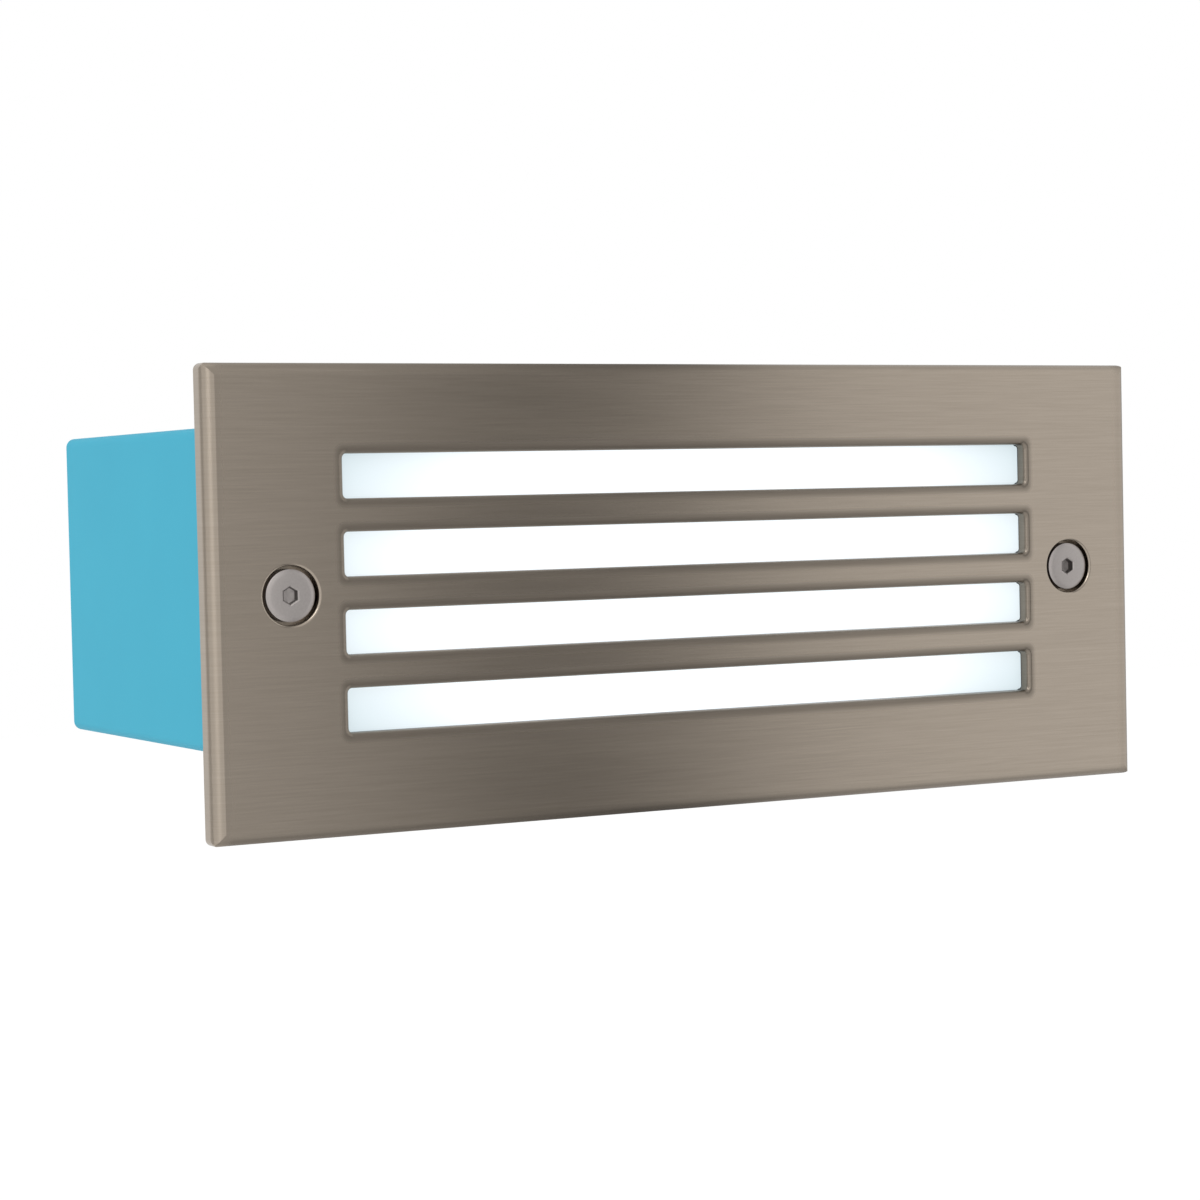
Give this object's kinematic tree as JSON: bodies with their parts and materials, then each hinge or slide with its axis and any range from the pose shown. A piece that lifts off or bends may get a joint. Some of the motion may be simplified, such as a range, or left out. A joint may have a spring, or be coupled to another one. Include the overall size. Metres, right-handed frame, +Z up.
{
  "type": "recessed step light",
  "caption": "Brick-sized recessed step light: slotted brushed-steel cover with a lit frosted diffuser on a moulded wall box with LED tray and driver",
  "frame": {"origin": "middle of the faceplate on the wall's face, the plane that the faceplate's rim and the box's flange rest on", "axes": "+X along the faceplate's width, +Y into the wall, +Z up; the front faces -Y"},
  "size_m": [0.23, 0.1005, 0.096],
  "materials": {
    "cover_steel": "satin, brushed along its length",
    "screw_steel": "machined stainless",
    "plated_steel": "zinc plated",
    "brass": "turned",
    "blue_plastic": "moulded, satin",
    "frosted_polycarbonate": "frosted, lit from behind",
    "black_rubber": "moulded",
    "white_nylon": "moulded",
    "white_enamel": "powder coat",
    "white_plastic": "moulded",
    "board_white": "solder mask",
    "led_phosphor": "silicone dome",
    "board_green": "solder mask",
    "ferrite": "sintered",
    "capacitor_sleeve": "shrink sleeve",
    "brown_insulation": "PVC",
    "blue_insulation": "PVC",
    "red_insulation": "PVC",
    "black_insulation": "PVC"
  },
  "bodies": {
    "wall_unit": {"back_box": "blue_plastic", "screw_inserts": "brass", "cable_grommet": "black_rubber", "blanking_plug": "black_rubber", "gear_tray": "white_enamel", "tray_screws": "plated_steel", "tray_bushing": "black_rubber", "led_board": "board_white", "led_chips": "led_phosphor", "reflector": "white_plastic", "reflector_screws": "plated_steel", "driver_case": "white_plastic", "driver_lid": "white_plastic", "driver_board": "board_green", "driver_transformer": "ferrite", "driver_capacitors": "capacitor_sleeve", "driver_screws": "plated_steel", "terminal_housing": "white_nylon", "terminal_barrels": "brass", "terminal_screws": "plated_steel", "terminal_fixings": "plated_steel", "cord_clamp_bar": "white_nylon", "cord_clamp_screws": "plated_steel", "live_lead": "brown_insulation", "neutral_lead": "blue_insulation", "led_lead_positive": "red_insulation", "led_lead_negative": "black_insulation"},
    "cover": {"faceplate": "cover_steel", "weld_studs": "plated_steel", "face_gasket": "black_rubber", "diffuser": "frosted_polycarbonate", "clamp_strips": "plated_steel", "clamp_washers": "plated_steel", "clamp_nuts": "plated_steel", "rim_gasket": "black_rubber"},
    "left_screw_seal": {"seal_washer_left": "black_rubber", "keeper_ring_left": "white_nylon"},
    "left_screw": {"cover_screw_left": "screw_steel"},
    "right_screw_seal": {"seal_washer_right": "black_rubber", "keeper_ring_right": "white_nylon"},
    "right_screw": {"cover_screw_right": "screw_steel"}
  },
  "joints": [
    {"name": "cover_pull", "type": "slide", "parent": "wall_unit", "child": "cover", "axis": [0, -1, 0], "range_m": [0, 0.06]},
    {"name": "left_screw_travel", "type": "slide", "parent": "cover", "child": "left_screw_seal", "axis": [0, -1, 0], "range_m": [0, 0.0106]},
    {"name": "left_screw_turn", "type": "hinge", "parent": "left_screw_seal", "child": "left_screw", "pos_m": [-0.0973, -0.0022, 0.0014], "axis": [0, -1, 0], "range_deg": [0, 4771]},
    {"name": "right_screw_travel", "type": "slide", "parent": "cover", "child": "right_screw_seal", "axis": [0, -1, 0], "range_m": [0, 0.0106]},
    {"name": "right_screw_turn", "type": "hinge", "parent": "right_screw_seal", "child": "right_screw", "pos_m": [0.0973, -0.0022, 0.0014], "axis": [0, -1, 0], "range_deg": [0, 4771]}
  ],
  "couplings": [
    {"joint": "left_screw_turn", "follows": "left_screw_travel", "rad_per_m": 7854},
    {"joint": "right_screw_turn", "follows": "right_screw_travel", "rad_per_m": 7854}
  ]
}
